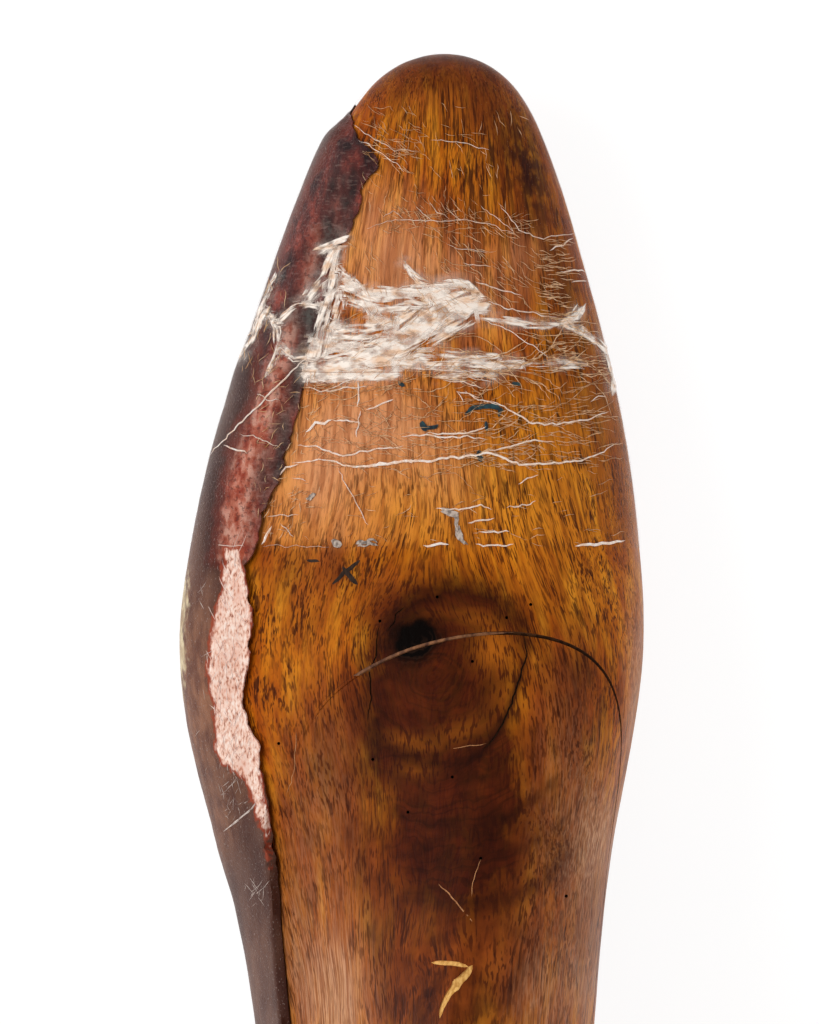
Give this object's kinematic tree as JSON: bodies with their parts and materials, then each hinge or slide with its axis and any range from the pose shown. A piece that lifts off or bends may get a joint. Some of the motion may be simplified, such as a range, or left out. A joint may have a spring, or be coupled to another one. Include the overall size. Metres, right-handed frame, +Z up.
{
  "type": "cobbler last",
  "caption": "Wooden shoe last for a left foot with a sawn instep block, its screw, a jack socket, a heel plate, a leather side fitting and a taped toe.",
  "frame": {"origin": "middle of the heel plate's underside, on the bench", "axes": "+Y from heel to toe, +X to the inner (medial) side of the foot, +Z up"},
  "size_m": [0.0928, 0.2899, 0.088],
  "materials": {
    "wood": "old amber varnish, satin, with dark flecks and a knot",
    "leather": "dark grain side, worn, skived pale edges",
    "leather_flesh": "rough flesh side",
    "tape": "clear, creased, slightly hazy",
    "steel": "dull, worn",
    "iron": "dark, slightly rusty",
    "brass": "aged"
  },
  "bodies": {
    "last": {"last_body": "wood", "jack_thimble": "steel", "heel_plate": "steel", "heel_plate_nail_1": "iron", "heel_plate_nail_2": "iron", "heel_plate_nail_3": "iron", "heel_plate_nail_4": "iron", "heel_plate_nail_5": "iron", "side_fitting": "leather", "joint_underlay": "leather_flesh", "fitting_brad_1": "iron", "fitting_brad_2": "iron", "fitting_brad_3": "iron", "fitting_brad_4": "iron", "tape_band_1": "tape", "tape_band_2": "tape", "tape_band_3": "tape", "tape_band_4": "tape"},
    "block": {"instep_block": "wood"},
    "cup": {"screw_cup": "brass"},
    "screw": {"block_screw": "iron"}
  },
  "joints": [
    {"name": "block_lift", "type": "slide", "parent": "last", "child": "block", "axis": [0, 0, 1], "range_m": [0, 0.07]},
    {"name": "screw_turn", "type": "hinge", "parent": "block", "child": "cup", "pos_m": [0.003, 0.038, 0.088], "axis": [0, 0, 1], "range_deg": [0, 3962]},
    {"name": "screw_rise", "type": "slide", "parent": "cup", "child": "screw", "axis": [0, 0, 1], "range_m": [0, 0.0275]}
  ],
  "couplings": [
    {"joint": "screw_turn", "follows": "screw_rise", "rad_per_m": 2513.3}
  ]
}
